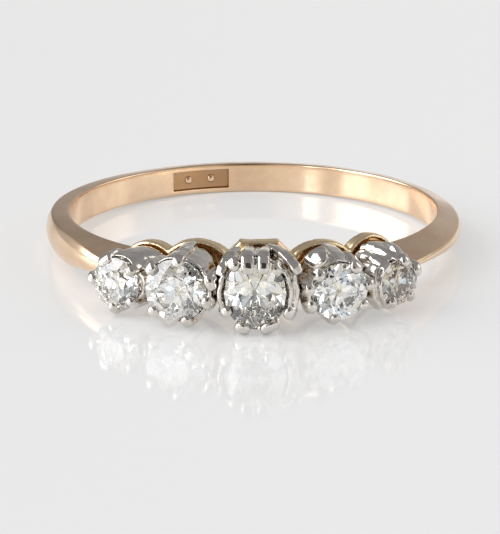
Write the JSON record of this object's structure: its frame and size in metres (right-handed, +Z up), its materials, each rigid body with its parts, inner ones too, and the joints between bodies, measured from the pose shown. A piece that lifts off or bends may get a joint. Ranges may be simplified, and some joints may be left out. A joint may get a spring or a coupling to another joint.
{
  "type": "gemstone ring",
  "caption": "Gold finger ring with knife edge shoulders, a scalloped gallery and a graduated row of old cut diamonds in platinum claws, lying on its side.",
  "frame": {"origin": "centre of the ring's base outline, at the surface it lies on", "axes": "+Z up from the surface, -Y to the side with the stones, +X to the right when the stones face the viewer"},
  "size_m": [0.0192, 0.0218, 0.0039],
  "materials": {
    "gold": "polished rose-tinted yellow gold with fine wear",
    "platinum": "polished platinum, softened by wear",
    "diamond": "clear, facetted, old cut"
  },
  "bodies": {
    "root": {"gold_mount": "gold", "platinum_setting": "platinum", "diamond_left_end": "diamond", "diamond_left": "diamond", "diamond_centre": "diamond", "diamond_right": "diamond", "diamond_right_end": "diamond"}
  },
  "joints": []
}
